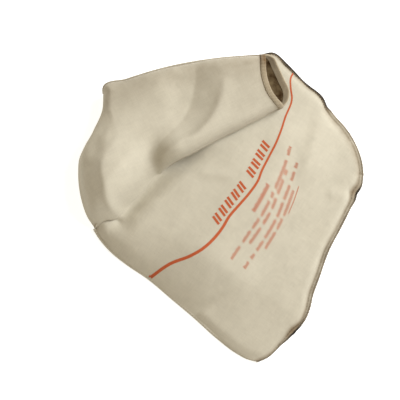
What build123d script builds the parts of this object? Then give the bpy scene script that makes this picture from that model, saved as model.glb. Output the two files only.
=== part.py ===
"""Cloth dust bag of a floor sander, empty, lying on its back with its neck folded over.

Two canvas panels are sewn together round the edge.  The wide body lies flat.  The neck is folded down
along a slanting line at the top left, so that it lies across the body with its mouth at the right.
X runs along the printed fill line, Y points from the bottom seam to the fold, and Z is up.  The origin
is on the resting face, midway between the two ends of the fill line.  Lengths are in millimetres.
"""

import os
from math import cos, degrees, radians, sin

from build123d import *

# Cloth
cloth = 1.0  # one layer of canvas with its nap
clearance = 0.4  # between the body and the neck that lies on it

# Body
fill_line_length = 290.0  # from one side seam to the other, as the bag lies
bottom_depth = 160.0  # bottom seam below the ends of the fill line
fold_rise = 173.0  # top of the fold above the ends of the fill line
body_height = 22.0
body_round = 14.0  # roll of the cloth along the body's upper edge
floor_round = 2.0  # roll of the cloth where it meets the floor

# Neck
mouth_width = 69.0
mouth_tilt = 30.0  # the upper rim is set back, so that the mouth also faces up
neck_angle = -28.5  # way out of the mouth, from +X
neck_height = 30.0
neck_round = 12.0
fold_round = 16.0
fold_depth = 14.0  # how far the fold's cloth reaches in from the line between its ends

# Seams
seam_height = 3.0  # body seam above the floor
seam_allowance = 6.0  # flange that both panels leave outside the body's stitching
neck_allowance = 4.0
thread = 0.6  # width of a row of stitches
thread_rise = 0.3
stitch_inset = 1.2  # row of stitches from the edge of what it holds
overlock_width = 2.0

# Mouth
hem_width = 7.0
hem_cloth = 0.8
elastic_width = 4.0
elastic_thickness = 0.8

# Print
ink = 0.15
fill_line_sag = 40.0  # how far the line's middle hangs below its ends
fill_line_width = 4.0
mark_height = 12.0
mark_width = 7.0
mark_gap = 5.2
mark_count = 9
note_height = 4.5
note_pitch = 9.0
note_lengths = (37.0, 150.0, 91.0, 151.0, 81.0)
note_slope = 5.0

# Worked out from the sizes above
half_line = fill_line_length / 2
flange = 2 * cloth  # the two panels' seam allowances, one on the other
hem_rise = elastic_thickness + hem_cloth + thread_rise
neck_low = body_height + ink + clearance + hem_rise
neck_high = neck_low + neck_height
neck_seam_height = neck_low + neck_height / 2
far = 2 * (fill_line_length + bottom_depth + fold_rise)  # past everything

hip = Vector(6 - half_line, fold_rise - 98)
fold_left = Vector(59 - half_line, fold_rise - 27)
fold_notch = Vector(-25, fold_rise - 22)
fold_right = Vector(6, fold_rise)
shoulder = Vector(half_line - 5, 34)
fold_along = (fold_right - hip).normalized()
fold_across = Vector(-fold_along.Y, fold_along.X)

neck_out = Vector(cos(radians(neck_angle)), sin(radians(neck_angle)))
neck_across = Vector(-neck_out.Y, neck_out.X)
mouth = Vector(half_line - 20, 17)
mouth_near = mouth - neck_across * (mouth_width / 2)
mouth_far = mouth + neck_across * (mouth_width / 2)
mouth_middle = mouth + Vector(0, 0, neck_seam_height)
mouth_out = neck_out * cos(radians(mouth_tilt)) + Vector(0, 0, sin(radians(mouth_tilt)))
run_on = neck_out * (mouth_width / 2)  # stretch of neck past the mouth, which is cut off

# Corners of the plans, each with the radius that rounds it
body_corners = (
    (Vector(-half_line - 6, -bottom_depth - 1), 20),
    (Vector(-half_line + 58, -bottom_depth - 13), 24),
    (Vector(5, 13 - bottom_depth), 90),
    (Vector(half_line - 38, 20 - bottom_depth), 34),
    (Vector(half_line - 17, 90 - bottom_depth), 90),
    (shoulder, 20),
    (fold_right, 22),
    (fold_notch, 15),
    (fold_left, 30),
    (hip, 40),
)
neck_corners = (
    (hip, 18),
    (hip + Vector(32, -20), 40),
    (mouth_near - neck_out * 108 + neck_across * 3, 60),
    (mouth_near + run_on, 24),
    (mouth_far + run_on, 24),
    (mouth_far, 30),
    (fold_right, 22),
    (fold_notch, 15),
    (fold_left, 30),
)


def plan(corners, grow):
    """Rounded outline of some corners, grown by an amount."""
    with BuildSketch() as outline:
        with BuildLine():
            FilletPolyline(
                *[point for point, radius in corners],
                radius=[radius for point, radius in corners],
                close=True,
            )
        make_face()
        if grow:
            offset(amount=grow)
    return outline.sketch


def block(corners, low, high, low_round, high_round, grow):
    """Rounded outline raised between two heights, with its upper and lower edges rounded, then grown."""
    with BuildPart() as rounded:
        with BuildSketch(Plane.XY.offset(low - grow)):
            add(plan(corners, grow))
        extrude(amount=high - low + 2 * grow)
        fillet(rounded.edges().group_by(Axis.Z)[-1], high_round + grow)
        fillet(rounded.edges().group_by(Axis.Z)[0], low_round + grow)
    return rounded.part


def body(grow):
    """Form of the body, which is a flat pillow."""
    return block(body_corners, 0, body_height, floor_round, body_round, grow)


def neck(grow):
    """Form of the neck, which runs on past its mouth."""
    return block(neck_corners, neck_low, neck_high, neck_round, neck_round, grow)


def half_space(origin, outward):
    """Everything on the outward side of a plane."""
    with BuildPart() as space:
        with BuildSketch(Plane(origin=origin, z_dir=outward)):
            Rectangle(2 * far, 2 * far)
        extrude(amount=far)
    return space.part


def beyond_fold(depth):
    """Everything past a line that lies the given depth inside the fold."""
    return half_space(hip - fold_across * depth, fold_across)


def short_of_fold(depth):
    """Everything on the body's side of that line."""
    return half_space(hip - fold_across * depth, -fold_across)


def beyond_mouth(back):
    """Everything past the mouth's plane, or past one that lies further back up the neck."""
    return half_space(mouth_middle - mouth_out * back, mouth_out)


def short_of_mouth(back):
    """Everything up the neck from that plane."""
    return half_space(mouth_middle - mouth_out * back, -mouth_out)


def above(height):
    """Everything above a height."""
    return half_space(Vector(0, 0, height), Vector(0, 0, 1))


def below(height):
    """Everything below a height."""
    return half_space(Vector(0, 0, height), Vector(0, 0, -1))


def fold(grow):
    """Form of the fold, from the floor to the top of the neck."""
    with BuildPart() as roll:
        add(block(neck_corners, 0, neck_high, floor_round, fold_round, grow))
        add(short_of_fold(fold_depth + grow), mode=Mode.SUBTRACT)
    return roll.part


def ring(corners, inner, outer, low, high):
    """Flat band round an outline, from one distance outside it to another."""
    with BuildPart() as band:
        with BuildSketch(Plane.XY.offset(low)):
            add(plan(corners, outer))
            add(plan(corners, inner), mode=Mode.SUBTRACT)
        extrude(amount=high - low)
    return band.part


def body_ring(inner, outer, low, high):
    """Band round the body's seam, which stops at the fold."""
    with BuildPart() as band:
        add(ring(body_corners, inner, outer, low, high))
        add(beyond_fold(fold_depth), mode=Mode.SUBTRACT)
    return band.part


def neck_ring(inner, outer, low, high):
    """Bands along the neck's two side seams, from the fold to the hem."""
    with BuildPart() as band:
        add(ring(neck_corners, inner, outer, low, high))
        add(beyond_fold(fold_depth), mode=Mode.SUBTRACT)
        add(beyond_mouth(hem_width), mode=Mode.SUBTRACT)
    return band.part


def row_of_thread(inset, width, allowance, height, rings):
    """Row of stitches on both faces of a seam's allowance."""
    inner = allowance - inset - width
    with BuildPart() as row:
        for low in (height + cloth, height - cloth - thread_rise):
            add(rings(inner, inner + width, low, low + thread_rise))
    return row.part


def overlock(allowance, height, rings):
    """Thread wrapped round the raw edges of a seam's allowance."""
    inner = allowance - overlock_width
    outer = allowance + thread_rise
    with BuildPart() as wrap:
        add(rings(inner, outer, height - cloth - thread_rise, height + cloth + thread_rise))
        add(rings(-cloth, allowance, height - cloth, height + cloth), mode=Mode.SUBTRACT)
    return wrap.part


def mouth_band(rise, start, width):
    """Band that stands on the neck, from a distance back from its mouth."""
    with BuildPart() as band:
        add(neck(rise))
        add(neck(0), mode=Mode.SUBTRACT)
        add(beyond_mouth(start), mode=Mode.SUBTRACT)
        add(short_of_mouth(start + width), mode=Mode.SUBTRACT)
    return band.part


def printed(sketch):
    """Ink on the body's upper face, where a flat figure falls on it."""
    with BuildPart() as figure:
        with BuildSketch(Plane.XY.offset(seam_height + 2 * cloth)):
            add(sketch)
        extrude(amount=body_height)
        add(body(ink), mode=Mode.INTERSECT)
        add(body(0), mode=Mode.SUBTRACT)
    return figure.part


# Shell of both panels together: outer form with the seam allowances, less the inside
with BuildPart() as shell:
    add(neck(0))
    add(beyond_mouth(0), mode=Mode.SUBTRACT)
    add(body(0))
    add(fold(0))
    add(body_ring(-cloth, seam_allowance, seam_height - cloth, seam_height + cloth))
    add(neck_ring(-cloth, neck_allowance, neck_seam_height - cloth, neck_seam_height + cloth))
    add(neck(-cloth), mode=Mode.SUBTRACT)
    add(body(-cloth), mode=Mode.SUBTRACT)
    add(fold(-cloth), mode=Mode.SUBTRACT)

# Front panel: over the body, into the crease and back under the neck
with BuildPart() as front_panel:
    add(shell.part)
    add(below(seam_height), mode=Mode.SUBTRACT)
    add(above(neck_seam_height), mode=Mode.SUBTRACT)
    add(beyond_fold(fold_depth - cloth), mode=Mode.SUBTRACT)

# Space that the front panel lies in
with BuildPart() as front_space:
    add(above(seam_height))
    add(above(neck_seam_height), mode=Mode.SUBTRACT)
    add(beyond_fold(fold_depth - cloth), mode=Mode.SUBTRACT)

# Back panel: on the floor, round the fold and over the top of the neck
with BuildPart() as back_panel:
    add(shell.part)
    add(front_space.part, mode=Mode.SUBTRACT)

# Seam round the body
with BuildPart() as seam_stitching:
    add(row_of_thread(seam_allowance - stitch_inset - thread, thread, seam_allowance, seam_height, body_ring))

with BuildPart() as seam_overlock:
    add(overlock(seam_allowance, seam_height, body_ring))

# Seams along both sides of the neck
with BuildPart() as neck_stitching:
    add(row_of_thread(neck_allowance - stitch_inset - thread, thread, neck_allowance, neck_seam_height, neck_ring))

with BuildPart() as neck_overlock:
    add(overlock(neck_allowance, neck_seam_height, neck_ring))

# Mouth: elastic in a casing of cloth that is stitched down behind it
elastic_start = (hem_width - elastic_width) / 2
with BuildPart() as mouth_elastic:
    add(mouth_band(elastic_thickness, elastic_start, elastic_width))

with BuildPart() as mouth_hem:
    add(mouth_band(elastic_thickness + hem_cloth, 0, hem_width))
    add(mouth_elastic.part, mode=Mode.SUBTRACT)

with BuildPart() as hem_stitching:
    add(mouth_band(hem_rise, hem_width - stitch_inset / 2 - thread, thread))
    add(mouth_hem.part, mode=Mode.SUBTRACT)

# Fill line, an arc from one side seam to the other
arc_radius = (half_line**2 + fill_line_sag**2) / (2 * fill_line_sag)
arc_centre = (0, arc_radius - fill_line_sag)
with BuildSketch() as line_figure:
    with Locations(arc_centre):
        Circle(arc_radius + fill_line_width / 2)
        Circle(arc_radius - fill_line_width / 2, mode=Mode.SUBTRACT)
    with Locations((0, -fill_line_sag / 2)):
        Rectangle(fill_line_length + 4 * body_round, 3 * fill_line_sag, mode=Mode.INTERSECT)

with BuildPart() as fill_line_print:
    add(printed(line_figure.sketch))

# Large marks in a row that follows the line
mark_pitch = mark_width + mark_gap
mark_radius = arc_radius - fill_line_width / 2 - mark_gap - mark_height / 2
mark_turn = degrees(mark_pitch / mark_radius)
with BuildSketch() as mark_figure:
    with Locations(arc_centre):
        with PolarLocations(mark_radius, mark_count, -90 - mark_turn * (mark_count - 1) / 2, mark_turn * mark_count):
            Rectangle(mark_height, mark_width)

with BuildPart() as fill_marks_print:
    add(printed(mark_figure.sketch))

# Rows of the notice below the line
with BuildSketch() as note_figure:
    for row, length in enumerate(note_lengths):
        drop = fill_line_sag + fill_line_width + note_pitch * (row + 1)
        with Locations(Location((4, -drop), note_slope)):
            Rectangle(length, note_height)

with BuildPart() as notice_print:
    add(printed(note_figure.sketch))

os.makedirs("parts", exist_ok=True)
pieces = {
    "back_panel": back_panel,
    "front_panel": front_panel,
    "seam_stitching": seam_stitching,
    "seam_overlock": seam_overlock,
    "neck_stitching": neck_stitching,
    "neck_overlock": neck_overlock,
    "mouth_elastic": mouth_elastic,
    "mouth_hem": mouth_hem,
    "hem_stitching": hem_stitching,
    "fill_line_print": fill_line_print,
    "fill_marks_print": fill_marks_print,
    "notice_print": notice_print,
}
for name, piece in pieces.items():
    piece.part.label = name
    export_step(piece.part, f"parts/{name}.step")
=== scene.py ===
import math
import random

import bpy
import numpy as np
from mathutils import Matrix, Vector
from mathutils.bvhtree import BVHTree


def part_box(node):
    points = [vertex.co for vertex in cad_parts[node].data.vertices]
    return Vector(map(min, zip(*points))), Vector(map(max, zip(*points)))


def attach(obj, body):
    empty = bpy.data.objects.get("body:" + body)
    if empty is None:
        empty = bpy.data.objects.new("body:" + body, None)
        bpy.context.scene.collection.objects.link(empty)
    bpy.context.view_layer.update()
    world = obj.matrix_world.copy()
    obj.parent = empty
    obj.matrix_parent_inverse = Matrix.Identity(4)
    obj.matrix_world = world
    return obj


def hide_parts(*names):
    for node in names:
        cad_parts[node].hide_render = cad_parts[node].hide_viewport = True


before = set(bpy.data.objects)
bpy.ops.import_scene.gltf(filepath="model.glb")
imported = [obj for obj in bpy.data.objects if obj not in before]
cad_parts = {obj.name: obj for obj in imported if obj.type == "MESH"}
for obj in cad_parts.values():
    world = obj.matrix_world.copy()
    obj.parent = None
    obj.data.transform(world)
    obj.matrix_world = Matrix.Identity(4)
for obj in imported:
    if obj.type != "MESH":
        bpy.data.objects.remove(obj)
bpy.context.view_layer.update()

# The bag is described in millimetres in the CAD frame, and MM turns them into metres.
MM = 0.001

# Thickness of the canvas, level of its inner face where it lies on the floor, and level of the neck's crown.
CLOTH = 0.9
FLOOR = CLOTH + 0.1
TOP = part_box("back_panel")[1].z / MM - 4

# Points across the bag, and along its body, its neck and its turn round the fold.
COLUMNS = 160
BODY_ROWS = 110
NECK_ROWS = 110
WRAP_ROWS = 10

UP = np.array([0.0, 0.0, 1.0])


# ---------------------------------------------------------------- curves and patches

def curve(points, count):
    """Smooth curve through some points, with even steps."""
    p = np.array(points, float)
    chord = np.r_[0, np.cumsum(np.linalg.norm(np.diff(p[:, :2], axis=0), axis=1))]
    slope = np.gradient(p, chord, axis=0)
    at = np.linspace(0, chord[-1], count)
    i = np.clip(np.searchsorted(chord, at, side="right") - 1, 0, len(p) - 2)
    step = (chord[i + 1] - chord[i])[:, None]
    t = (at - chord[i])[:, None] / step
    return (
        p[i] * (1 + 2 * t) * (1 - t) ** 2
        + p[i + 1] * t**2 * (3 - 2 * t)
        + slope[i] * step * t * (1 - t) ** 2
        + slope[i + 1] * step * t**2 * (t - 1)
    )


def coons(bottom, left, right, top):
    """Surface between four curves. Rows run from bottom to top, and columns from left to right."""
    s = np.linspace(0, 1, len(bottom))[None, :, None]
    t = np.linspace(0, 1, len(left))[:, None, None]
    ruled = (1 - t) * bottom[None] + t * top[None] + (1 - s) * left[:, None] + s * right[:, None]
    corners = (1 - t) * ((1 - s) * bottom[0] + s * bottom[-1]) + t * ((1 - s) * top[0] + s * top[-1])
    return ruled - corners


def beside(grid, path):
    """Distance in plan from each point to a path, and its side: 1 on the path's left, and -1 on its right."""
    p = grid[..., :2].reshape(-1, 1, 2)
    a, b = path[None, :-1, :2], path[None, 1:, :2]
    run = b - a
    t = np.clip(((p - a) * run).sum(-1) / np.maximum((run**2).sum(-1), 1e-9), 0, 1)
    gap = p - (a + t[..., None] * run)
    distance = np.linalg.norm(gap, axis=-1)
    near = distance.argmin(axis=1)
    rows = np.arange(len(near))
    cross = run[0, near, 0] * gap[rows, near, 1] - run[0, near, 1] * gap[rows, near, 0]
    return distance[rows, near].reshape(grid.shape[:-1]), np.sign(cross).reshape(grid.shape[:-1])


def gap_to(grid, line):
    """Distance in plan from each point to a line."""
    return beside(grid, line)[0]


def rolled(distance, reach):
    """Rise of cloth from a rolled edge, from 0 to 1."""
    return np.sqrt(1 - (1 - np.clip(distance / reach, 0, 1)) ** 2)


def crisp(distance, reach, corner=0.14):
    """Straight ramp from 0 to 1 with a narrow rounded corner at its top."""
    r = distance / reach
    return 0.5 * (1 + r - np.sqrt((1 - r) ** 2 + corner**2))


def unit(vectors):
    """The same directions with a length of one."""
    return vectors / np.maximum(np.linalg.norm(vectors, axis=1), 1e-9)[:, None]


def bell(distance, reach):
    """Fall from 1 towards 0 that starts level."""
    return np.exp(-((distance / reach) ** 2))


def fade(distance, reach, soft=0.0):
    """Height of a fold beside its crest, from 1 to 0. A soft fold has a round crest."""
    u = np.clip(np.sqrt(distance**2 + soft**2) / reach, 0, 1)
    return (1 - u) ** 2 * (1 + u)


def eased(distance, reach):
    """Rise from 0 to 1 that starts and ends level."""
    t = np.clip(distance / reach, 0, 1)
    return t * t * (3 - 2 * t)


def soften(field, times=3):
    """Blurs a field over its grid, a little more each time."""
    for _ in range(times):
        padded = np.pad(field, 1, mode="edge")
        field = (padded[:-2, 1:-1] + padded[2:, 1:-1] + padded[1:-1, :-2] + padded[1:-1, 2:] + 2 * field) / 6
    return field


def place_on(grid, path):
    """How far along a path, from 0 to 1, the nearest place to each point is."""
    p = grid[..., :2].reshape(-1, 1, 2)
    nearest = np.linalg.norm(p - path[None, :, :2], axis=-1).argmin(axis=1)
    return nearest.reshape(grid.shape[:2]) / (len(path) - 1)


def fold(grid, points, height, left, right, soft=1.0, taper=0.3):
    """Raises a fold along a path. It has a reach of its own on each side, and tapers off at its ends."""
    path = curve(points, 90)
    distance, side = beside(grid, path)
    along = place_on(grid, path)
    ends = eased(np.minimum(along, 1 - along), taper)
    grid[..., 2] += soften(height * fade(distance, np.where(side > 0, left, right), soft) * ends, 2)


def terrace(grid, points, centre, spread, depths, widths, back):
    """Sinks the cloth on the left of a crisp crest, down a straight wall to a soft valley that rises slowly
    beyond. The wall's depths and widths are listed along the crest. It all fades out away from a centre."""
    path = curve(points, 160)
    distance, side = beside(grid, path)
    along = place_on(grid, path)
    places = np.linspace(0, 1, len(depths))
    smoothing = 80
    depth = soften(np.interp(along, places, depths), smoothing)
    width = soften(np.interp(along, places, widths), smoothing)
    wall = np.clip(distance / width, 0, 1) - 0.14 * bell(distance - width, 0.45 * width)
    beyond = soften(distance, smoothing) - width
    away = np.linalg.norm((grid[..., :2] - np.array(centre)) / np.array(spread), axis=-1)
    sunk = depth * wall * (1 - eased(beyond, back)) * eased(1 - away, 0.55)
    grid[..., 2] -= soften(np.where(side > 0, sunk, 0), 2)


def ripple(grid, amount, scale, seed):
    """Slow uneven waves all over."""
    chance = random.Random(seed)
    for _ in range(7):
        angle = chance.uniform(0, math.pi)
        phase = chance.uniform(0, 2 * math.pi)
        length = scale * chance.uniform(0.7, 1.6)
        across = grid[..., 0] * math.cos(angle) + grid[..., 1] * math.sin(angle)
        grid[..., 2] += amount / 2.6 * np.sin(2 * math.pi * across / length + phase)


def grid_faces(rows, columns, flip=False):
    """Quads between the points of a grid."""
    i = np.arange((rows - 1) * columns).reshape(rows - 1, columns)[:, :-1].ravel()
    faces = np.stack([i, i + 1, i + 1 + columns, i + columns], axis=1)
    return faces[:, ::-1] if flip else faces


def strip_faces(inner, outer, flip=False):
    """Quads between two rows of vertex numbers."""
    faces = np.stack([inner[:-1], inner[1:], outer[1:], outer[:-1]], axis=1)
    return faces[:, ::-1] if flip else faces


class Surface:
    """A grid of points as a surface that can be looked up in plan."""

    def __init__(self, grid):
        points = [Vector(p) for p in grid.reshape(-1, 3)]
        faces = [tuple(int(i) for i in f) for f in grid_faces(*grid.shape[:2])]
        self.tree = BVHTree.FromPolygons(points, faces)

    def at(self, x, y):
        """Point and upward normal at a place in plan."""
        hit, normal, _, _ = self.tree.ray_cast(Vector((x, y, 200)), Vector((0, 0, -1)))
        if hit is None:
            hit, normal, _, _ = self.tree.find_nearest(Vector((x, y, 10)))
        return hit, normal if normal.z > 0 else -normal


# ---------------------------------------------------------------- the bag's lines, in plan and height

bottom_seam = curve([
    (-150, -158, 2), (-138, -165, 3), (-124, -168, 4), (-112, -169, 5), (-98, -168.5, 6), (-84, -173, 6),
    (-68, -170, 5), (-54, -164, 5), (-27, -156.5, 5), (0, -149, 5), (29, -145, 6), (50, -142, 6),
    (66, -139, 6), (75, -134, 7), (86, -134.5, 7), (96, -131, 6),
], COLUMNS)
left_seam = curve([
    (-150, -158, 2), (-153.5, -148, 1.5), (-155, -131, 1.5), (-153.8, -105, 1.5), (-149.6, -70, 1.5),
    (-146.6, -35, 1.5), (-143.6, 0, 1.5), (-144, 33, 2), (-143, 50, 3), (-137, 75, 4), (-133, 84, 5),
], BODY_ROWS)
right_seam = curve([
    (96, -131, 6), (106, -122, 7), (119, -104, 8), (126, -88, 8), (133, -62, 8), (136, -54, 9.5),
    (141, -47, 10.5), (144.3, -18, 11.5), (150, 12, 12), (151.5, 33, 12), (144, 40, 11), (100, 74, 10),
    (66, 113, 11), (26, 146, 12), (1, 166, 14),
], BODY_ROWS)
fold_line = curve([
    (-133, 84, 5), (-126, 99, 16), (-115, 114, 20), (-92, 135, 22), (-79, 143, 23), (-49, 147, 22),
    (-22, 152, 20), (1, 166, 14),
], COLUMNS)
inner_fold = curve([
    (-133, 84, 5), (-119, 88, 15), (-103, 98, 18), (-84, 112, 19), (-60, 122, 19), (-32, 128, 19),
    (-10, 140, 17), (1, 166, 14),
], COLUMNS)
near_edge = curve([
    (-133, 84, 5), (-120, 80, 13), (-111, 71, 17), (-91, 68, 20), (-56, 62, 22), (-23, 55, 23), (5, 41, 25),
    (31, 28, 26), (57, 14, 26), (82, 1, 26), (107, -13, 26),
], NECK_ROWS)
far_edge = curve([
    (1, 166, 14), (5, 169, 17), (28, 152, 24), (69, 119, 27), (107, 81, 28), (142.5, 38, 29),
], NECK_ROWS)
upper_rim = curve([
    (107, -13, 26), (107.5, -5, 33), (111, 6, 38), (118, 17, 41), (126.5, 26, 41), (135, 32.5, 38),
    (142.5, 38, 29),
], COLUMNS)
lower_rim = curve([
    (107, -13, 26), (115, -13.5, 25.5), (125, -9, 25), (134, 5, 25), (142, 19, 25.5), (147, 29, 26.5),
    (145.5, 35.5, 28), (142.5, 38, 29),
], COLUMNS)


# ---------------------------------------------------------------- the front panel, body side

body_top = coons(bottom_seam, left_seam, right_seam, inner_fold)
left_gap = gap_to(body_top, left_seam)
right_gap = gap_to(body_top, right_seam)
bottom_gap = gap_to(body_top, bottom_seam)

# A crease slants across the left side. Above it the cloth falls gently to its edge, and below it steeply.
above_crease = body_top[..., 1] + 67 + (body_top[..., 0] + 155) * 0.49
left_reach = np.interp(body_top[..., 1], [-80, 0, 60], [68, 52, 36])
left_reach = 10 + (left_reach - 10) * eased(above_crease + 3, 12)

# Distance in from the edges, rounded where two are about as near. The left edge only counts below the crease.
ROUNDING = 18
margins = (right_gap, bottom_gap, left_gap + 200 * eased(above_crease, 30))
middle = -ROUNDING * np.log(sum(np.exp(-margin / ROUNDING) for margin in margins))
edge_height = 5 + 4.5 * eased(left_gap, 120)
plateau = edge_height + (16 - edge_height) * eased(middle + 5, 110) + 4.5 * eased(body_top[..., 1] + 125, 100)
rise = crisp(left_gap, left_reach) * crisp(right_gap, 7, 0.6) * crisp(bottom_gap, 6, 0.4)
body_top[..., 2] += (plateau - body_top[..., 2]) * rise

# Soft folds and small creases, the valley along the neck's near edge, and the pinch at its left end.
fold(body_top, [(-84, 5), (-81, -35), (-84, -81), (-92, -112)], 2.5, 60, 60, soft=3)
fold(body_top, [(-15, 30), (-2, 5), (12, -19)], 1.4, 12, 10, soft=0.8)
fold(body_top, [(134, -52), (100, -64), (70, -74), (38, -84)], 2.4, 34, 16, soft=0.5)
fold(body_top, [(55, -110), (66, -138)], 1.4, 10, 10, soft=0.8)
fold(body_top, [(-70, 25), (-30, -4), (30, -18), (100, -8)], -2.5, 24, 30, soft=8)
valley = [(-136, 85), (-119, 77), (-112, 67), (-91, 64), (-56, 60), (-23, 54), (5, 41), (36, 25)]
fold(body_top, valley, -15.0, 26, 24, soft=5, taper=0.3)
fold(body_top, [(-110, 62), (-96, 54), (-76, 50), (-60, 38)], 1.6, 8, 12, soft=0.8)
fold(body_top, [(-137, 86), (-124, 81), (-114, 74), (-109, 60)], -4.0, 7, 7, soft=0.6, taper=0.2)
ripple(body_top, 0.5, 60, 3)
body_surface = Surface(body_top)


# ---------------------------------------------------------------- the neck, under and upper layers

# The neck's near edge sinks into the valley, rises a little at the pinch, and comes clear of the body
# nearer to the mouth.
along = np.linspace(0, 1, NECK_ROWS)
clear = eased(along - 0.36, 0.16)
pinch = 2.4 * bell(along - 0.075, 0.035)
for k, (x, y, z) in enumerate(near_edge):
    sunk = body_surface.at(x, y)[0].z - 0.6
    near_edge[k, 2] = sunk + pinch[k] + (z - sunk) * clear[k]
near_edge[0] = fold_line[0]

neck_under = coons(inner_fold, near_edge, far_edge, lower_rim)
rise = rolled(gap_to(neck_under, near_edge), 12) * rolled(gap_to(neck_under, far_edge), 14)
rise *= rolled(gap_to(neck_under, lower_rim), 14)
rise *= 1 - (1 - clear[:, None]) * (1 - eased(gap_to(neck_under, near_edge), 70))
UNDER_LEVEL = 22.5
neck_under[..., 2] += (UNDER_LEVEL - neck_under[..., 2]) * rise

# The upper layer's crown falls towards the mouth and towards the fold's far corner.
neck_top = coons(fold_line, near_edge, far_edge, upper_rim)
crown = TOP - 8 * np.clip((neck_top[..., 0] + 60) / 190, 0, 1)
corner_gap = np.linalg.norm(neck_top[..., :2] - far_edge[0, :2], axis=-1)
crown -= 17 * (1 - eased(corner_gap, 100))

# It rises straight from the fold, in a soft sweep where it is sunk, and steeply where it is clear.
slope = np.interp(np.linspace(0, 1, COLUMNS), [0, 0.5, 0.66, 0.8, 1], [30, 27, 18, 9, 6])[None]
near_gap = gap_to(neck_top, near_edge)
steep = rolled(near_gap, np.interp(along, [0.3, 0.6, 1], [24, 15, 11])[:, None])
soft = eased(near_gap + 6, np.interp(along, [0, 0.1, 0.4], [26, 40, 52])[:, None])
beside_body = soft + (steep - soft) * clear[:, None]
rise = crisp(gap_to(neck_top, fold_line), slope, 0.07) * beside_body * rolled(gap_to(neck_top, far_edge), 15)
neck_top[..., 2] += (crown - neck_top[..., 2]) * rise

# Creases beside the fold, the dent behind its crest, and a thin ridge inside the left outline.
fold(neck_top, [(-24, 139), (-42, 131), (-57, 122), (-72, 116), (-89, 97), (-107, 77)], 3.5, 60, 12, soft=0.6)
fold(neck_top, [(-72, 117), (-86, 138)], -1.2, 8, 12, soft=0.8)
crest = [(-34, 60), (-17, 65.5), (-3, 61), (16, 50.5), (44, 45), (70, 49), (104, 66)]
terrace(neck_top, crest, (18, 74), (104, 76), [5.5, 8.5, 13, 14.5, 14, 13], [8, 13, 25, 31, 33, 33], 85)
fold(neck_top, crest, 1.8, 8, 24, soft=0.8)
fold(neck_top, [(-129, 84), (-121, 97), (-110, 111), (-97, 124), (-86, 133)], 0.9, 1.8, 1.8, soft=0.3)
ripple(neck_top, 0.5, 50, 8)

# The under layer stays below the upper one.
above = Surface(neck_top)
apart = 1.6 * eased(gap_to(neck_under, near_edge), 8) * eased(gap_to(neck_under, far_edge), 8)
apart *= eased(gap_to(neck_under, lower_rim), 8)
for point, gap in zip(neck_under.reshape(-1, 3), apart.ravel()):
    point[2] = min(point[2], above.at(point[0], point[1])[0].z - gap)


# ---------------------------------------------------------------- the back panel, from the floor to the fold

# The line where the cloth leaves the floor is tucked in under the fold, by less near the two ends.
TUCK = 6.0
inward = unit(np.stack([np.gradient(fold_line[:, 1]), -np.gradient(fold_line[:, 0])], axis=1))
from_end = np.minimum(np.arange(COLUMNS), np.arange(COLUMNS)[::-1])
tuck = np.minimum(TUCK, TUCK * from_end / 12)[:, None]
floor_line = fold_line.copy()
floor_line[:, 2] = FLOOR
floor_line[:, :2] += inward * tuck
floor_left = left_seam.copy()
floor_left[-1, 2] = FLOOR
floor_right = right_seam.copy()
floor_right[-1, 2] = FLOOR
body_under = coons(bottom_seam, floor_left, floor_right, floor_line)
rise = rolled(gap_to(body_under, left_seam), 12) * rolled(gap_to(body_under, right_seam), 20)
body_under[..., 2] += (FLOOR - body_under[..., 2]) * rise * rolled(gap_to(body_under, bottom_seam), 16)

# The back panel's turn up round the fold, which bulges a little.
BULGE = 1.6
turn = np.linspace(0, math.pi / 2, WRAP_ROWS + 2)[1:-1, None, None]
share = np.concatenate([np.sin(turn), np.sin(turn), 1 - np.cos(turn)], axis=2)
wrap = floor_line[None] + (fold_line - floor_line)[None] * share
wrap[..., :2] -= inward[None] * BULGE * np.sin(2 * turn) * (tuck / TUCK)[None]

# The front panel's tight turn inside the fold.
BEND = 1.2
inner_turn = np.linspace(0, math.pi, 6)[1:-1, None]
crease = np.repeat(inner_fold[None], len(inner_turn), axis=0)
crease[..., :2] -= inward[None] * BEND * np.sin(inner_turn)[..., None]
crease[..., 2] += (1 - np.cos(inner_turn)) * BEND


# ---------------------------------------------------------------- meshes

def new_object(name, data):
    """Puts something into the scene."""
    obj = bpy.data.objects.new(name, data)
    bpy.context.scene.collection.objects.link(obj)
    return obj


def add_object(name, vertices, faces, *materials):
    """Smooth mesh object from points in millimetres."""
    mesh = bpy.data.meshes.new(name)
    points = [tuple(v) for v in np.asarray(vertices) * MM]
    mesh.from_pydata(points, [], [tuple(int(i) for i in f) for f in faces])
    mesh.update()
    mesh.polygons.foreach_set("use_smooth", [True] * len(mesh.polygons))
    for material in materials:
        mesh.materials.append(material)
    return new_object(name, mesh)


def write_values(obj, label, values):
    """Gives each vertex a value for the materials to read."""
    layer = obj.data.attributes.new(label, "FLOAT", "POINT")
    layer.data.foreach_set("value", values.ravel().astype(np.float32))


def write_pattern(obj, pattern):
    """Gives each vertex its place in the cloth's flat pattern, in metres."""
    index = np.empty(len(obj.data.loops), dtype=np.int32)
    obj.data.loops.foreach_get("vertex_index", index)
    places = pattern.reshape(-1, 2)[index] * MM
    obj.data.uv_layers.new(name="cloth").data.foreach_set("uv", places.ravel().astype(np.float32))


# ---------------------------------------------------------------- materials

def new_material(name):
    """A new material with its nodes and its shader."""
    made = bpy.data.materials.new(name)
    made.use_nodes = True
    return made, made.node_tree, made.node_tree.nodes["Principled BSDF"]


def node(tree, kind, **inputs):
    """New node. A name with a leading underscore is a setting of the node, and any other one is a socket."""
    made = tree.nodes.new(kind)
    for key, value in inputs.items():
        if key.startswith("_"):
            setattr(made, key[1:], value)
        else:
            made.inputs[key].default_value = value
    return made


def noise(tree, coords, **inputs):
    """Noise over some coordinates."""
    made = node(tree, "ShaderNodeTexNoise", **inputs)
    tree.links.new(coords, made.inputs["Vector"])
    return made.outputs["Fac"]


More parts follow.
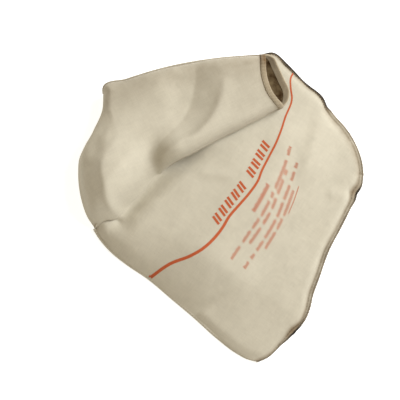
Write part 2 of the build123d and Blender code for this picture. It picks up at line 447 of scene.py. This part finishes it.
def ramp(tree, source, stops):
    """Colours that follow a value, with stops at some places."""
    made = tree.nodes.new("ShaderNodeValToRGB")
    while len(made.color_ramp.elements) < len(stops):
        made.color_ramp.elements.new(0.5)
    for element, (place, colour) in zip(made.color_ramp.elements, stops):
        element.position = place
        element.color = (*colour, 1)
    tree.links.new(source, made.inputs["Fac"])
    return made.outputs["Color"]


def mix(tree, blend, factor, a, b):
    """Blend of two colours, each a constant or another node's output."""
    made = node(tree, "ShaderNodeMix", _data_type="RGBA", _blend_type=blend)
    for socket, value in ((made.inputs["Factor"], factor), (made.inputs["A"], a), (made.inputs["B"], b)):
        if isinstance(value, bpy.types.NodeSocket):
            tree.links.new(value, socket)
        else:
            socket.default_value = value
    return made.outputs["Result"]


def bump(tree, height, strength, distance, under=None):
    """Normal that follows a height, on top of another normal if one is given."""
    made = node(tree, "ShaderNodeBump", Strength=strength, Distance=distance)
    tree.links.new(height, made.inputs["Height"])
    if under:
        tree.links.new(under, made.inputs["Normal"])
    return made.outputs["Normal"]


def grey(v):
    """Grey of one brightness."""
    return (v, v, v)


def weave(tree, coords, pitch):
    """Height of a plain weave: two crossed sets of threads, with uneven thickness."""
    waves = []
    for direction in ("X", "Y"):
        wave = node(tree, "ShaderNodeTexWave", Scale=math.pi / (10 * pitch), Distortion=0.6, Detail=1.0)
        wave.wave_type = "BANDS"
        wave.bands_direction = direction
        wave.wave_profile = "SIN"
        wave.inputs["Detail Scale"].default_value = 0.4
        tree.links.new(coords, wave.inputs["Vector"])
        waves.append(wave.outputs["Color"])
    return mix(tree, "MULTIPLY", 1.0, waves[0], waves[1])


def canvas(name, base, soil, layer="soil", sheen=0.12):
    """Natural cotton canvas: plain weave, slubs, husk specks, uneven dust and wear, and painted shade where
    the mesh's values say.
    """
    made, tree, shader = new_material(name)
    coords = node(tree, "ShaderNodeUVMap", _uv_map="cloth").outputs["UV"]
    place = node(tree, "ShaderNodeTexCoord").outputs["Object"]

    # Broad and fine unevenness, and thicker threads both ways.
    cloud = noise(tree, place, Scale=14.0, Detail=5.0, Roughness=0.6)
    blotch = noise(tree, place, Scale=85.0, Detail=4.0, Roughness=0.65)
    tones = [
        ramp(tree, cloud, [(0.3, grey(0.93)), (0.7, grey(1.0))]),
        ramp(tree, blotch, [(0.35, grey(0.95)), (0.62, grey(1.0))]),
    ]
    for stretch in ((60, 900, 1), (900, 60, 1)):
        mapping = node(tree, "ShaderNodeMapping", Scale=stretch)
        tree.links.new(coords, mapping.inputs["Vector"])
        slub = noise(tree, mapping.outputs["Vector"], Scale=1.0, Detail=2.0)
        tones.append(ramp(tree, slub, [(0.35, grey(0.955)), (0.65, grey(1.0))]))
    colour = (*base, 1)
    for tone in tones:
        colour = mix(tree, "MULTIPLY", 1.0, colour, tone)

    # Brown specks of husk.
    specks = node(tree, "ShaderNodeTexVoronoi", Scale=150.0)
    tree.links.new(place, specks.inputs["Vector"])
    husk = ramp(tree, specks.outputs["Distance"], [(0.03, (0.55, 0.44, 0.30)), (0.07, grey(1.0))])
    colour = mix(tree, "MULTIPLY", 0.5, colour, husk)

    # Dirt and painted shade where the mesh says so, in patches.
    dirt_and_shade = node(tree, "ShaderNodeAttribute", _attribute_name=layer).outputs["Fac"]
    patchy = noise(tree, place, Scale=120.0, Detail=3.0)
    uneven = node(tree, "ShaderNodeMath", _operation="MULTIPLY")
    tree.links.new(dirt_and_shade, uneven.inputs[0])
    tree.links.new(ramp(tree, patchy, [(0.25, grey(0.6)), (0.7, grey(1.0))]), uneven.inputs[1])
    colour = mix(tree, "MIX", uneven.outputs["Value"], colour, (*soil, 1))
    tree.links.new(colour, shader.inputs["Base Color"])

    # The weave, on a softly crumpled cloth.
    threads = bump(tree, weave(tree, coords, 0.0007), 0.35, 0.0002)
    crumple = noise(tree, place, Scale=42.0, Detail=3.0, Distortion=0.6)
    tree.links.new(bump(tree, crumple, 0.35, 0.0018, threads), shader.inputs["Normal"])
    shader.inputs["Roughness"].default_value = 0.95
    shader.inputs["Sheen Weight"].default_value = sheen
    shader.inputs["Sheen Roughness"].default_value = 0.6
    shader.inputs["Specular IOR Level"].default_value = 0.15
    return made


def yarn(name, dark, light, scale):
    """Spun thread: fine twisted fibres with dusty and worn stretches, and painted shadow where the mesh's
    values say.
    """
    made, tree, shader = new_material(name)
    place = node(tree, "ShaderNodeTexCoord").outputs["Object"]
    twist = node(tree, "ShaderNodeTexWave", Scale=scale, Distortion=4.0, Detail=2.0)
    twist.bands_direction = "DIAGONAL"
    tree.links.new(place, twist.inputs["Vector"])
    dust = noise(tree, place, Scale=60.0, Detail=4.0)
    fibres = ramp(tree, twist.outputs["Color"], [(0.2, dark), (0.8, light)])
    dusty = ramp(tree, dust, [(0.3, grey(0.75)), (0.7, grey(1.0))])
    clean = mix(tree, "MULTIPLY", 1.0, fibres, dusty)
    # Painted shadow from the mesh's values turns the thread near black.
    dirt_and_shade = node(tree, "ShaderNodeAttribute", _attribute_name="soil").outputs["Fac"]
    tree.links.new(mix(tree, "MIX", dirt_and_shade, clean, (0.022, 0.018, 0.015, 1)), shader.inputs["Base Color"])
    tree.links.new(bump(tree, twist.outputs["Color"], 0.6, 0.0003), shader.inputs["Normal"])
    shader.inputs["Roughness"].default_value = 0.9
    shader.inputs["Specular IOR Level"].default_value = 0.2
    return made


def ink(name, strong, thin):
    """Screen-printed ink, thinner where the weave's hollows took less of it."""
    made, tree, shader = new_material(name)
    place = node(tree, "ShaderNodeTexCoord").outputs["Object"]
    wear = noise(tree, place, Scale=900.0, Detail=3.0)
    tree.links.new(ramp(tree, wear, [(0.35, thin), (0.6, strong)]), shader.inputs["Base Color"])
    tree.links.new(bump(tree, wear, 0.3, 0.0002), shader.inputs["Normal"])
    shader.inputs["Roughness"].default_value = 0.75
    return made


# The canvas's soil colour also paints shade into the seams' valleys and by the neck's rim.
CANVAS = canvas("canvas", (0.575, 0.545, 0.448), (0.21, 0.16, 0.10))
# The inner faces: browner canvas that painted interior shade darkens towards near black, most just inside the
# mouth.
INNER_CANVAS = canvas("inner_canvas", (0.44, 0.34, 0.19), (0.035, 0.016, 0.003), layer="inside", sheen=0.0)
HEM_CANVAS = canvas("hem_canvas", (0.46, 0.405, 0.295), (0.15, 0.095, 0.045))
# The overlock thread is dark brown, partly its own colour and partly painted shadow along the raised edges.
EDGE_YARN = yarn("edge_yarn", (0.22, 0.18, 0.13), (0.42, 0.36, 0.27), 900.0)
PALE_YARN = yarn("pale_yarn", (0.30, 0.26, 0.18), (0.58, 0.52, 0.40), 1400.0)
BAND = yarn("elastic_band", (0.45, 0.42, 0.36), (0.72, 0.69, 0.62), 700.0)
INK = ink("orange_ink", (0.43, 0.066, 0.013), (0.45, 0.11, 0.035))


# ---------------------------------------------------------------- the two panels

def outward(line, side):
    """Level direction out of a seam. The side is 1 on the line's left and -1 on its right."""
    step = np.gradient(line[:, :2], axis=0)
    out = unit(side * np.stack([-step[:, 1], step[:, 0]], axis=1))
    for _ in range(4):
        out[1:-1] = (out[:-2] + out[1:-1] * 2 + out[2:]) / 4
    return out


def swerve(count, amount, pitch, seed):
    """Uneven wave along an edge, for points that are about as far apart as on the seams."""
    chance = random.Random(seed)
    spacing = 2.4
    t = np.arange(count) * spacing
    total = np.zeros(count)
    for share, stretch in ((0.6, 1.0), (0.4, 0.43)):
        total += share * np.sin(t / (pitch * stretch) * 2 * math.pi + chance.uniform(0, 6.28))
    return amount * total


class Allowance:
    """Seam allowance along an edge: its direction, width and fall at each point of the seam."""

    def __init__(self, seam, side, width, drop, soil=1.0):
        self.seam = seam
        self.out = outward(seam, side)
        self.width = width
        self.drop = drop
        self.soil = soil

    def line(self, part):
        """The line a share of the way out from the seam."""
        points = self.seam.copy()
        points[:, :2] += self.out * (self.width * part)[:, None]
        points[:, 2] += self.drop * part
        return points


# The body's left, right and bottom edges.
along_left = np.linspace(0, 1, BODY_ROWS)
left_width = np.interp(along_left, [0, 0.12, 0.5, 0.75, 1], [1.5, 2.2, 2.6, 3.0, 3.0])
at_left = Allowance(left_seam, 1, left_width, np.full(BODY_ROWS, -0.6), 0.25)

right_width = np.interp(right_seam[:, 1], [-131, -60, -52, 30, 60], [5.5, 4.8, 2.2, 2.2, 1.5])
at_right = Allowance(right_seam, -1, right_width, -1.0 + swerve(BODY_ROWS, 0.8, 30, 6), 1.3)

bottom_width = np.interp(
    bottom_seam[:, 0],
    [-150, -118, -98, -84, -60, 60, 76, 88, 96],
    [1.5, 1.5, 7.5, 3.5, 5.0, 5.0, 9.0, 7.0, 5.5],
)
bottom_drop = np.interp(bottom_seam[:, 0], [-118, -98, -84, 60, 76, 96], [-0.6, -3.0, 0.6, 0.8, -4.0, 0.5])
at_bottom = Allowance(bottom_seam, -1, bottom_width, bottom_drop + swerve(COLUMNS, 0.5, 28, 7))

# The neck's near and far edges. The near one has no allowance where it is sunk.
at_near = Allowance(near_edge, -1, 1.4 * clear, -1.2 * clear)
at_far = Allowance(far_edge, 1, np.full(NECK_ROWS, 2.0), np.full(NECK_ROWS, -0.8))


def painted_edge_shadow(points):
    """Painted shadow on the seams and their thread: most along the body's right edge, which stands off the
    floor, and in the hollows of its outline.
    """
    x, y = points[..., 0], points[..., 1]
    dirt_and_shade = 0.9 * eased(x - 120, 18) * eased(y + 66, 14)
    for hollow_x, hollow_y, reach in ((-98, -175, 14), (78, -144, 12), (139, -52, 7)):
        dirt_and_shade = np.maximum(dirt_and_shade, 0.95 * bell(np.hypot(x - hollow_x, y - hollow_y), reach))
    return dirt_and_shade


def mitre(first, last_end, second, second_end, turn_points=6):
    """Lets two allowances meet at a corner in one direction, over a few points of each."""
    places = []
    for allowance, at_end in ((first, last_end), (second, second_end)):
        count = len(allowance.out)
        places.append(range(count - turn_points, count) if at_end else range(turn_points - 1, -1, -1))
    corner = places[0][-1]
    shared = first.out[corner] + second.out[places[1][-1]]
    shared /= np.linalg.norm(shared)
    for allowance, points in zip((first, second), places):
        for k, point in enumerate(points):
            blend = (k + 1) / turn_points
            allowance.out[point] = allowance.out[point] * (1 - blend) + shared * blend
            allowance.width[point] = allowance.width[point] * (1 - blend) + first.width[corner] * blend
            allowance.drop[point] = allowance.drop[point] * (1 - blend) + first.drop[corner] * blend


mitre(at_bottom, True, at_right, False)
mitre(at_bottom, False, at_left, False)


def unfold(points):
    """Place in the flat pattern of points on the neck, which lies turned over along the fold."""
    start = fold_line[0, :2]
    axis = (fold_line[-1, :2] - start) / np.linalg.norm(fold_line[-1, :2] - start)
    offset = points[..., :2] - start
    length = offset @ axis
    return start + 2 * length[..., None] * axis - offset


# Painted interior shade on the inside of the cloth, away from the mouth.
INNER_SHADE = 0.25


def seam_soil_and_shade(body):
    """How much a layer of the body darkens close to its seams: soil and painted shade in the seams' valleys,
    and a tan band along the lower right edge.
    """
    side_gap = gap_to(body, right_seam)
    low_gap = gap_to(body, bottom_seam)
    close = 0.7 * bell(np.minimum(side_gap, low_gap), 1.8)
    tan_stretch = eased(-45 - body[..., 1], 10)
    return np.maximum(close, 0.55 * tan_stretch * bell(side_gap, 4.5))


def neck_soil_and_shade(neck):
    """How dark a layer of the neck is on its outside and on its inside. Outside: stains along the far edge, a
    broad darkening towards the mouth, and soil by the rim with painted shade at its far end. Inside: painted
    interior shade, most just inside the mouth.
    """
    rim_gap = gap_to(neck, neck[-1])
    stains_and_mouth_tone = 0.34 * bell(gap_to(neck, far_edge), 26) + 0.16 * bell(rim_gap, 70)
    rim_soil_and_shade = 0.75 * bell(rim_gap, 13) * (0.5 + 0.5 * np.linspace(0, 1, COLUMNS)[None] ** 2)
    inside = INNER_SHADE + 0.75 * bell(np.maximum(rim_gap - 10, 0), 60) * (rim_gap > 0.01)
    return np.maximum(rim_soil_and_shade, stains_and_mouth_tone), inside


def add_panel(name, body, turned, neck, inside_out):
    """Panel from the grids of its body, its turn and its neck, with a seam allowance along its sewn edges."""
    stack = np.concatenate([body, turned, neck])
    pattern = stack[..., :2].copy()
    pattern[-len(neck):] = unfold(neck)
    soil = np.zeros(stack.shape[:2])
    inside = np.full(stack.shape[:2], INNER_SHADE)
    soil[:len(body)] = seam_soil_and_shade(body)
    soil[-len(neck):], inside[-len(neck):] = neck_soil_and_shade(neck)

    # The grid comes first, and then three rows of points along each sewn edge.
    layers = [(stack.reshape(-1, 3), pattern.reshape(-1, 2), soil.ravel(), inside.ravel())]
    faces = [grid_faces(*stack.shape[:2])]
    numbers = np.arange(soil.size).reshape(soil.shape)
    total = numbers.size
    edges = (
        (numbers[:BODY_ROWS, 0], at_left, False),
        (numbers[:BODY_ROWS, -1], at_right, True),
        (numbers[0], at_bottom, True),
        (numbers[-len(neck):, 0], at_near, False),
        (numbers[-len(neck):, -1], at_far, True),
    )
    for inner, allowance, flip in edges:
        flat = pattern.reshape(-1, 2)[inner]
        for part in (0.33, 0.67, 1.0):
            points = allowance.line(part)
            places = flat + allowance.out * (allowance.width * part)[:, None]
            # Soil and painted shade along the allowance, darkest in its valley a third of the way out, with
            # painted edge shadow on top.
            dirt_and_shade = allowance.soil * (0.3 + abs(part - 0.67)) + (1 - part * 0.3) * painted_edge_shadow(points)
            layers.append((points, places, dirt_and_shade, np.full(len(inner), INNER_SHADE)))
            outer = np.arange(total, total + len(inner))
            faces.append(strip_faces(inner, outer, flip))
            inner = outer
            total += len(outer)
    vertices, pattern, soil, inside = (np.concatenate(parts) for parts in zip(*layers))
    vertices[:, 2] = np.maximum(vertices[:, 2], FLOOR)
    faces = np.concatenate(faces)
    if inside_out:
        faces = faces[:, ::-1]

    obj = add_object(name, vertices, faces, CANVAS, INNER_CANVAS)
    write_values(obj, "soil", soil)
    write_values(obj, "inside", inside)
    write_pattern(obj, pattern)
    solid = obj.modifiers.new("thickness", "SOLIDIFY")
    solid.thickness = CLOTH * MM
    solid.offset = 1
    solid.material_offset = 1
    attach(obj, "root")
    return obj


front = add_panel("front_cloth", body_top, crease, neck_under, False)
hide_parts("front_panel")
back = add_panel("back_cloth", body_under, wrap, neck_top, True)
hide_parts("back_panel")


# ---------------------------------------------------------------- thread

def resample(points, step):
    """The same line at even steps."""
    lengths = np.concatenate([[0], np.cumsum(np.linalg.norm(np.diff(points, axis=0), axis=1))])
    places = np.linspace(0, lengths[-1], max(2, int(lengths[-1] / step)))
    return np.stack([np.interp(places, lengths, points[:, k]) for k in range(3)], axis=1)


def tube(points, radii, sides, up, start):
    """Vertices and faces of a tube along points. The radii are its half width and half height."""
    step = unit(np.gradient(points, axis=0))
    across = unit(np.cross(step, up))
    upward = np.cross(across, step)
    angles = np.linspace(0, 2 * math.pi, sides, endpoint=False)
    vertices = (
        points[:, None]
        + across[:, None] * (radii[:, 0:1] * np.cos(angles))[..., None]
        + upward[:, None] * (radii[:, 1:2] * np.sin(angles))[..., None]
    )
    faces = []
    last = start + (len(points) - 1) * sides
    for here in range(start, last, sides):
        following = here + sides
        for s in range(sides):
            n = (s + 1) % sides
            faces.append((here + s, here + n, following + n, following + s))
    faces.append(tuple(start + s for s in reversed(range(sides))))
    faces.append(tuple(last + s for s in range(sides)))
    return vertices.reshape(-1, 3), faces


def add_tubes(name, tubes, material):
    """One object of many tubes, each a tuple of points, radii, sides and up direction."""
    vertices = []
    faces = []
    start = 0
    for points, radii, sides, up in tubes:
        made, joined = tube(points, radii, sides, up, start)
        vertices.append(made)
        faces.extend(joined)
        start += len(made)
    vertices = np.concatenate(vertices)
    obj = add_object(name, vertices, faces, material)
    # Painted edge shadow darkens the thread along the right edge and in the outline's hollows.
    write_values(obj, "soil", painted_edge_shadow(vertices))
    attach(obj, "root")
    return obj


def stitches(line, length=2.3, gap=1.1, radius=0.32, up=(0, 0, 1), seed=1):
    """Row of stitches along a line, each pulled down into the cloth at both ends."""
    chance = random.Random(seed)
    per_mm = 10
    margin = 6
    fine = resample(line, 1 / per_mm)
    up = np.array(up, float)
    lift = np.array([-0.3, 0.1, 0.18, 0.1, -0.3]) * radius
    girth = np.array([0.3, 0.9, 1.0, 0.9, 0.3])[:, None] * np.array([[radius, radius * 0.8]])
    made = []
    at = margin
    while at + int(length * per_mm) < len(fine) - margin:
        run = int((length + chance.uniform(-0.25, 0.25)) * per_mm)
        points = fine[np.linspace(at, min(at + run, len(fine) - 1), len(lift)).astype(int)]
        made.append((points + up * lift[:, None], girth, 6, up))
        at += run + int(gap * per_mm)
    return made


# Length of a loop of overlock thread along its edge, and the points round it.
LOOP_PITCH = 1.7
LOOP_POINTS = 9


def wrapped_edge(line, half_width, half_height, seed):
    """Overlock thread round a raw edge: a close core, and a coil of loops round it."""
    chance = random.Random(seed)
    centre = resample(line, 1.6)
    # The overlock is widened where the painted edge shadow lies, so dark thread stands in for shade there.
    half_width = half_width + 0.7 * painted_edge_shadow(centre)
    radii = np.stack([half_width * 0.86, np.full(len(centre), half_height * 0.9)], axis=1)
    fine = resample(line, LOOP_PITCH / LOOP_POINTS)
    step = unit(np.gradient(fine, axis=0))
    level = unit(np.stack([step[:, 1], -step[:, 0], np.zeros(len(fine))], axis=1))
    number = np.arange(len(fine))
    angle = number * 2 * math.pi / LOOP_POINTS
    wobble = 1 + 0.12 * np.sin(number * 0.031 + chance.uniform(0, 6))
    reach = np.interp(np.linspace(0, 1, len(fine)), np.linspace(0, 1, len(centre)), half_width)
    coil = fine + level * (np.cos(angle) * reach * wobble)[:, None]
    coil[:, 2] += np.sin(angle) * half_height * wobble
    coil[:, 2] = np.maximum(coil[:, 2], 0.4)
    return [(centre, radii, 8, UP), (coil, np.full((len(coil), 2), 0.34), 5, UP)]


def both_faces(allowance, part, seed):
    """Stitches on the upper and the lower face of a seam."""
    made = []
    for way in (1, -1):
        line = allowance.line(part)
        line[:, 2] += way * (CLOTH + 0.1)
        line[:, 2] = np.maximum(line[:, 2], 0.3)
        made += stitches(line, up=(0, 0, way), seed=seed + way)
    return made


sewn = both_faces(at_left, 0.4, 3) + both_faces(at_bottom, 0.3, 5) + both_faces(at_right, 0.3, 7)
seam = add_tubes("seam_stitches", sewn, PALE_YARN)
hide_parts("seam_stitching")

# Along the left edge the overlock is thin and lies flat on the floor. Along the others it stands at the edge.
# Each row has an allowance, a share of the way out, the lowest and the highest level, and half the width
# and half the height.
overlocks = (
    (at_left, -0.5, 0.9, 0.9, 0.9, 0.8),
    (at_bottom, 0.85, 1.4, TOP, 1.3, 1.25),
    (at_right, 0.85, 1.4, TOP, 1.3, 1.25),
)
loops = []
for number, (allowance, part, lowest, highest, half_width, half_height) in enumerate(overlocks):
    line = allowance.line(part)
    line[:, 2] = np.clip(line[:, 2], lowest, highest)
    loops += wrapped_edge(line, half_width, half_height, number)
seam_loops = add_tubes("seam_loops", loops, EDGE_YARN)
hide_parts("seam_overlock")

# The neck's stitches and overlock run along its inside, on the stretch next to the mouth.
neck_rows = slice(int(0.47 * NECK_ROWS), NECK_ROWS - 6)
neck_stitches = []
neck_loops = []
for number, allowance in enumerate((at_near, at_far)):
    sunk = 3 * (1 - clear[neck_rows]) if allowance is at_near else 0
    line = allowance.line(-0.4)[neck_rows]
    line[:, 2] -= CLOTH + 0.1 + sunk
    neck_stitches += stitches(line, up=(0, 0, -1), seed=11 + number)
    edge = allowance.line(-1.2)[neck_rows]
    edge[:, 2] -= 1.6 + sunk
    neck_loops += wrapped_edge(edge, 0.9, 0.9, 20 + number)
neck_seam = add_tubes("neck_stitches", neck_stitches, PALE_YARN)
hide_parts("neck_stitching")
neck_edge = add_tubes("neck_loops", neck_loops, EDGE_YARN)
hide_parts("neck_overlock")


# ---------------------------------------------------------------- the mouth

def back_from(grid, depths):
    """Points on a neck layer at distances back from its mouth, and past it where they are below zero."""
    rows = grid[::-1]
    steps = np.linalg.norm(np.diff(rows, axis=0), axis=2)
    lengths = np.concatenate([np.zeros((1, rows.shape[1])), np.cumsum(steps, axis=0)])
    made = np.empty((len(depths), rows.shape[1], 3))
    ahead = unit(rows[0] - rows[3])
    for k, depth in enumerate(depths):
        if depth <= 0:
            made[k] = rows[0] - ahead * depth
            continue
        for column in range(rows.shape[1]):
            made[k, column] = [np.interp(depth, lengths[:, column], rows[:, column, a]) for a in range(3)]
    return made


def mouth_loops(depths):
    """Closed lines round the mouth, along the neck's upper layer and back along its under layer."""
    upper = back_from(neck_top, depths)
    lower = back_from(neck_under, depths)[:, ::-1][:, 1:-1]
    return np.concatenate([upper, lower], axis=1)


def round_mouth(profile, pucker=0.0, gathers=34):
    """Closed band round the mouth. The profile lists distances back from its edge and out from its cloth."""
    depths, outs = np.array(profile).T
    loops = mouth_loops(depths)
    rim, behind = mouth_loops([0, 6])
    round_it = np.roll(rim, -1, axis=0) - np.roll(rim, 1, axis=0)
    normal = unit(np.cross(rim - behind, round_it))
    for _ in range(6):
        normal = unit(np.roll(normal, 1, axis=0) + 2 * normal + np.roll(normal, -1, axis=0))
    if normal[COLUMNS // 2, 2] < 0:
        normal = -normal
    place = np.arange(loops.shape[1])
    waves = np.sin(place * 2 * math.pi * gathers / len(place)) + np.sin(place * 0.71)
    out = outs[:, None] * np.where(outs[:, None] > 1, 1 + pucker * waves, 1)
    return loops + normal[None] * out[..., None]


def closed_faces(rows, columns, wrap_rows=False):
    """Quads between closed lines, and from the last line to the first one if they wrap."""
    faces = []
    for r in range(rows if wrap_rows else rows - 1):
        for c in range(columns):
            n, m = (c + 1) % columns, (r + 1) % rows
            faces.append((r * columns + c, r * columns + n, m * columns + n, m * columns + c))
    return faces


# The hem's section: distance back from the mouth's edge, distance out from its cloth, and dirt.
hem_section = (
    (6.0, 0.85, 0.5), (5.5, 1.35, 0.5), (4.8, 1.65, 0.45), (3.8, 2.0, 0.4), (2.6, 2.1, 0.4), (1.2, 2.0, 0.5),
    (0.0, 1.8, 0.6), (-0.8, 1.3, 0.6), (-1.0, 0.5, 0.5), (-0.7, -0.3, 0.5), (0.2, -0.7, 0.6),
    (2.5, -0.8, 0.7), (5.5, -0.75, 0.8), (6.8, -0.5, 0.9),
)
hem_grid = round_mouth([(depth, out) for depth, out, _ in hem_section], 0.10)
hem = add_object("hem_cloth", hem_grid.reshape(-1, 3), closed_faces(*hem_grid.shape[:2]), HEM_CANVAS)
place = np.arange(hem_grid.shape[1])
down = [depth + out for depth, out, _ in hem_section]
write_pattern(hem, np.stack(np.meshgrid(place * 0.8, down), axis=-1))

# It darkens towards the upper layer's far end, where painted shade lies on top of the hem's dirt.
dirt_and_shade = np.where(place < COLUMNS, np.interp(place, [0, 100, 130, 160], [0.8, 1.0, 1.8, 2.6]), 0.7)
write_values(hem, "soil", np.array([share for _, _, share in hem_section])[:, None] * dirt_and_shade[None])
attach(hem, "root")
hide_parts("mouth_hem")

band_grid = round_mouth([(0.8, 1.0), (4.6, 1.0), (4.6, 1.5), (0.8, 1.5)])
band = add_object("elastic_ring", band_grid.reshape(-1, 3), closed_faces(*band_grid.shape[:2], True), BAND)
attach(band, "root")
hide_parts("mouth_elastic")

# A row of stitches on the hem, back from its edge: one for every three points round it.
HEM_ROW = 4.9
stitch_ring = round_mouth([(HEM_ROW, 1.8)])[0]
stitch_out = stitch_ring - round_mouth([(HEM_ROW, 0.8)])[0]
girth = np.array([[0.2, 0.2], [0.38, 0.34], [0.2, 0.2]])
sewn = [(stitch_ring[k:k + 3], girth, 6, stitch_out[k + 1]) for k in range(0, len(stitch_ring) - 2, 3)]
hem_row = add_tubes("hem_stitches", sewn, PALE_YARN)
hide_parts("hem_stitching")


# ---------------------------------------------------------------- printing

def on_cloth(x, y, height=0.12):
    """Point just above the front panel's outer face."""
    hit, normal = body_surface.at(x, y)
    return hit + normal * (CLOTH + height)


def ribbon(points, widths):
    """Strip of ink of varying width along a line in plan: its vertices and faces."""
    step = np.gradient(points, axis=0)
    side = unit(np.stack([-step[:, 1], step[:, 0]], axis=1))
    shares = (-0.5, -0.17, 0.17, 0.5)
    rows = [points + side * (np.asarray(widths) * share)[:, None] for share in shares]
    vertices = [on_cloth(x, y) for row in rows for x, y in row]
    return vertices, [tuple(f) for f in grid_faces(len(shares), len(points), True)]


def add_print(name, strips):
    """One object of many strips of ink."""
    vertices = []
    faces = []
    for made, joined in strips:
        faces += [tuple(int(i) + len(vertices) for i in f) for f in joined]
        vertices += [tuple(v) for v in made]
    obj = add_object(name, vertices, faces, INK)
    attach(obj, "root")
    return obj


def flat_curve(points, step):
    """Smooth line in plan, in steps of about one length."""
    length = sum(math.dist(a, b) for a, b in zip(points, points[1:]))
    return curve([(x, y, 0) for x, y in points], max(3, int(length / step)))[:, :2]


line = flat_curve([
    (-145, -1), (-116, -12), (-95, -26), (-81, -32.5), (-66, -36), (-45, -37), (-35, -36), (-15, -37.7),
    (2, -39.4), (22, -39), (31, -36.6), (48, -34), (69, -31), (84, -27.4), (100, -22.5), (122, -16.5),
    (133, -7), (142, -1), (149, 0),
], 1.5)
line_width = np.interp(line[:, 0], [-145, -60, 40, 145], [3.8, 3.4, 2.6, 1.9])
line_print = add_print("fill_line_ink", [ribbon(line, line_width)])
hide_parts("fill_line_print")

baseline = flat_curve([(-50, -31.5), (-18, -32.3), (5, -33.4), (24, -32.6), (48, -29.4), (64, -27.4)], 0.25)


def bar(foot, lean, height, width, step=1.5):
    """Slanted bar that stands on a foot."""
    foot = np.array(foot)
    reach = np.linspace(0, 1, max(3, int(height / step)))[:, None]
    way = np.array([math.sin(lean), math.cos(lean)])
    return ribbon(foot + way * reach * height, np.full(len(reach), width))


def along_line(points, distance):
    """Point at a distance along a line, and the line's angle there."""
    steps = np.concatenate([[0], np.cumsum(np.linalg.norm(np.diff(points, axis=0), axis=1))])
    k = min(int(np.searchsorted(steps, distance)), len(points) - 2)
    step = points[k + 1] - points[k]
    return points[k], math.atan2(step[1], step[0])


# Large marks: nine pairs of slanted bars, in groups of five and four.
MARK_HEIGHT = 11.5
MARK_WIDTH = 2.9
MARK_LEAN = 0.30
FIRST_PAIR = 3.0
PAIR_PITCH = 11.6
PAIR_SHIFT = 4.6
GROUP_GAP = 9.5
bars = []
for number in range(9):
    place = FIRST_PAIR + PAIR_PITCH * number + (GROUP_GAP if number > 4 else 0)
    for shift in (0.0, PAIR_SHIFT):
        foot, angle = along_line(baseline, place + shift)
        bars.append(bar(foot, MARK_LEAN - angle, MARK_HEIGHT, MARK_WIDTH))
marks = add_print("fill_marks_ink", bars)
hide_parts("fill_marks_print")

# Notice: five rows of small ticks in groups, without any lettering. The last group is underlined.
# Each row has its line, the lengths of its groups, the ticks' height and their width.
TICK_PITCH = 2.25
TICK_LEAN = 0.22
TICK_GAP = 3.6
rows = (
    ([(-11, -57.5), (8, -56), (26, -53.5)], (37,), 5.2, 1.25),
    (
        [(-71, -68), (-32, -67.5), (-6, -67.3), (14, -64.6), (34, -60.6), (59, -54.4), (80, -47)],
        (20, 16, 14, 21, 8, 38, 12), 4.2, 1.05,
    ),
    ([(-44, -75), (-18, -74.8), (5, -72.6), (22, -68.4), (51, -61)], (24, 17, 15, 20, 8), 4.2, 1.05),
    (
        [(-71, -86.5), (-31, -86), (-1, -83.4), (22, -78), (48, -71.4), (77, -62)],
        (10, 8, 14, 25, 18, 20, 12, 7), 4.2, 1.05,
    ),
    ([(-38, -93), (-15, -91.6), (5, -88.8), (43, -79)], (23, 14, 33), 4.2, 1.05),
)
ticks = []
for row, (points, groups, height, width) in enumerate(rows):
    path = flat_curve(points, 0.25)
    at = 0.0
    for size in groups:
        for tick in range(int(size / TICK_PITCH)):
            foot, angle = along_line(path, at + tick * TICK_PITCH)
            share = 0.86 if (tick + row) % 3 else 1.05
            ticks.append(bar(foot, TICK_LEAN - angle, height * share, width))
        at += size + TICK_GAP
under = flat_curve([(10, -90), (26, -86.5), (43, -81.5)], 1.5)
ticks.append(ribbon(under, np.full(len(under), 0.8)))
notice = add_print("notice_ink", ticks)
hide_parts("notice_print")


# ---------------------------------------------------------------- studio

def aim(obj, way):
    """Turns a camera or a light in a direction."""
    obj.rotation_mode = "QUATERNION"
    obj.rotation_quaternion = way.to_track_quat("-Z", "Y")


def add_camera():
    """The photograph's camera, almost straight above."""
    azimuth = math.radians(-54.7)
    elevation = math.radians(86)
    distance = 1.5
    seen_width = 0.466
    seen_point = Vector((-0.036, 0.003, 0.010))
    level = math.cos(elevation)
    back_way = Vector((math.sin(azimuth) * level, -math.cos(azimuth) * level, math.sin(elevation)))
    data = bpy.data.cameras.new("camera")
    data.sensor_width = 36
    data.lens = 36 * distance / seen_width
    obj = new_object("camera", data)
    obj.location = seen_point + back_way * distance
    aim(obj, -back_way)
    bpy.context.scene.camera = obj


def add_light(name, place, size, power, colour):
    """Square light that points at the bag."""
    data = bpy.data.lights.new(name, "AREA")
    data.shape = "SQUARE"
    data.size = size
    data.energy = power
    data.color = colour
    obj = new_object(name, data)
    obj.location = place
    aim(obj, -Vector(place))


def add_floor():
    """White floor."""
    made, _, shader = new_material("floor")
    shader.inputs["Base Color"].default_value = (0.93, 0.93, 0.93, 1)
    shader.inputs["Roughness"].default_value = 0.9
    shader.inputs["Emission Color"].default_value = (0.94, 0.98, 1.0, 1)
    shader.inputs["Emission Strength"].default_value = 0.62
    reach = 6000
    corners = [(-reach, -reach, 0), (reach, -reach, 0), (reach, reach, 0), (-reach, reach, 0)]
    obj = add_object("floor", corners, [(0, 1, 2, 3)], made)


def add_world():
    """Warm light from all round."""
    world = bpy.data.worlds.new("studio")
    world.use_nodes = True
    background = world.node_tree.nodes["Background"]
    background.inputs["Color"].default_value = (1, 0.87, 0.69, 1)
    background.inputs["Strength"].default_value = 0.55
    bpy.context.scene.world = world


add_camera()
add_floor()
add_light("key", (1.3, -0.72, 1.15), 1.1, 44, (0.985, 0.99, 1.0))
add_world()
bpy.context.scene.view_settings.view_transform = "Standard"
